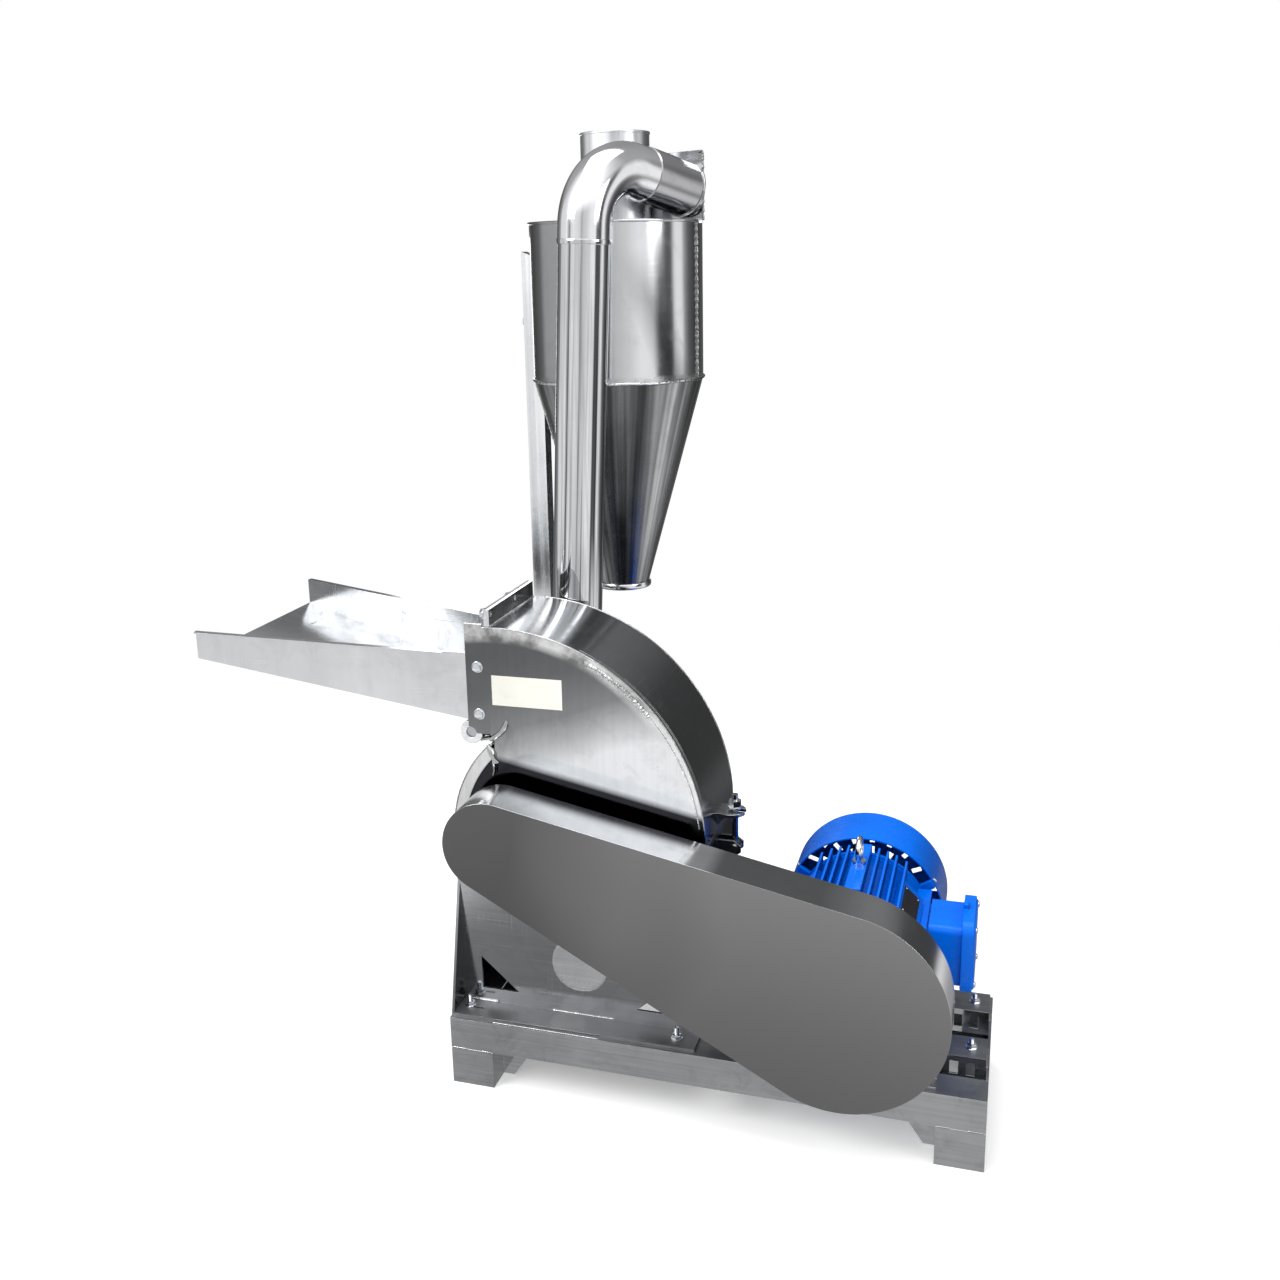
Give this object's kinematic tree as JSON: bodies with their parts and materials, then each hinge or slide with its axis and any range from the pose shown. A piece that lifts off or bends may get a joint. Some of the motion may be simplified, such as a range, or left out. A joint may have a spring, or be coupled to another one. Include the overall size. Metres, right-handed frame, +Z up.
{
  "type": "hammer crusher",
  "caption": "Small stainless hammer crusher on a folded base with hinged cover, feed chute, belt drive under a guard, electric motor, fan duct and cyclone separator.",
  "frame": {"origin": "centre of the machine's outline on the floor, between the chute's outer edge and the frame's right end and between the guard and the back of the cyclone", "axes": "+X along the base frame from chute to motor, +Y from the belt guard to the cyclone, +Z up"},
  "size_m": [1.1752, 0.6712, 1.443],
  "materials": {
    "stainless_sheet": "ground stainless sheet with handling marks and brushed weld zones",
    "stainless_mirror": "bright rolled stainless tube and sheet with near mirror finish",
    "guard_sheet": "satin stainless sheet with an even soft sheen",
    "machined_steel": "turned and milled steel",
    "cast_iron_parts": "painted cast iron",
    "zinc_fasteners": "bright zinc plate",
    "motor_paint": "glossy blue enamel over cast metal",
    "black_plate": "black anodised plate, blank",
    "fan_plastic": "moulded black plastic",
    "belt_rubber": "fabric faced rubber belt",
    "label_vinyl": "blank vinyl label"
  },
  "bodies": {
    "root": {"frame_front_beam": "stainless_sheet", "frame_rear_beam": "stainless_sheet", "frame_cross_members": "stainless_sheet", "frame_legs": "stainless_sheet", "motor_rails": "stainless_sheet", "housing_front_plate": "stainless_sheet", "housing_rear_plate": "stainless_sheet", "housing_side_walls": "stainless_sheet", "clasp_pin": "zinc_fasteners", "chamber_trough": "stainless_sheet", "plenum_partition": "stainless_sheet", "sizing_screen": "stainless_sheet", "blank_disc": "stainless_sheet", "hinge_barrel": "stainless_sheet", "hinge_pin": "machined_steel", "shaft_bearings": "cast_iron_parts", "fan_casing": "stainless_sheet", "duct_pipe": "stainless_mirror", "duct_elbow": "stainless_mirror", "inlet_pipe": "stainless_mirror", "cyclone_body": "stainless_mirror", "cyclone_cone": "stainless_mirror", "outlet_stub": "stainless_mirror", "support_post": "stainless_sheet", "post_outrigger": "stainless_sheet", "motor_frame": "motor_paint", "motor_end_shields": "motor_paint", "motor_cowl": "motor_paint", "terminal_box": "motor_paint", "terminal_lid": "motor_paint", "lifting_eye": "zinc_fasteners", "motor_blank_plate": "black_plate", "motor_foot_bolts": "zinc_fasteners", "drive_belts": "belt_rubber", "belt_guard": "guard_sheet", "guard_brackets": "stainless_sheet", "assembly_bolts": "zinc_fasteners"},
    "rotor": {"main_shaft": "machined_steel", "rotor_discs": "machined_steel", "hammer_pins": "machined_steel", "rotor_pulley": "cast_iron_parts", "fan_impeller": "stainless_sheet"},
    "hammers_1": {"hammers_row_1": "machined_steel"},
    "hammers_2": {"hammers_row_2": "machined_steel"},
    "hammers_3": {"hammers_row_3": "machined_steel"},
    "hammers_4": {"hammers_row_4": "machined_steel"},
    "motor_rotor": {"motor_shaft": "machined_steel", "motor_pulley": "cast_iron_parts", "cooling_fan": "fan_plastic"},
    "cover": {"cover_front_plate": "stainless_sheet", "cover_rear_plate": "stainless_sheet", "hinge_rings": "stainless_sheet", "cover_strip": "stainless_sheet", "mouth_flange": "stainless_sheet", "feed_baffle": "stainless_sheet", "blank_label_plate": "label_vinyl", "feed_chute": "stainless_sheet", "cover_bolts": "zinc_fasteners"},
    "eye_bolt": {"eye_bolt": "machined_steel"},
    "clasp_nut": {"clasp_nut": "zinc_fasteners"}
  },
  "joints": [
    {"name": "rotor_spin", "type": "hinge", "parent": "root", "child": "rotor", "pos_m": [-0.01531, -0.14035, 0.375], "axis": [0, 1, 0], "continuous": true},
    {"name": "motor_spin", "type": "hinge", "parent": "root", "child": "motor_rotor", "pos_m": [0.38719, -0.14035, 0.239], "axis": [0, 1, 0], "continuous": true},
    {"name": "hammers_1_swing", "type": "hinge", "parent": "rotor", "child": "hammers_1", "pos_m": [0.05187, -0.15635, 0.44218], "axis": [0, 1, 0], "continuous": true},
    {"name": "hammers_2_swing", "type": "hinge", "parent": "rotor", "child": "hammers_2", "pos_m": [-0.08248, -0.15635, 0.44218], "axis": [0, 1, 0], "continuous": true},
    {"name": "hammers_3_swing", "type": "hinge", "parent": "rotor", "child": "hammers_3", "pos_m": [-0.08248, -0.15635, 0.30782], "axis": [0, 1, 0], "continuous": true},
    {"name": "hammers_4_swing", "type": "hinge", "parent": "rotor", "child": "hammers_4", "pos_m": [0.05187, -0.15635, 0.30782], "axis": [0, 1, 0], "continuous": true},
    {"name": "cover_hinge", "type": "hinge", "parent": "root", "child": "cover", "pos_m": [-0.17831, -0.13835, 0.561], "axis": [0, -1, 0], "range_deg": [0, 85]},
    {"name": "clasp_swing", "type": "hinge", "parent": "root", "child": "eye_bolt", "pos_m": [0.20469, -0.13835, 0.379], "axis": [0, 1, 0], "range_deg": [0, 180]},
    {"name": "clasp_nut_turn", "type": "hinge", "parent": "eye_bolt", "child": "clasp_nut", "pos_m": [0.20469, -0.13835, 0.447], "axis": [0, 0, 1], "continuous": true}
  ],
  "couplings": [
    {"joint": "motor_spin", "follows": "rotor_spin", "ratio": 0.44643}
  ]
}
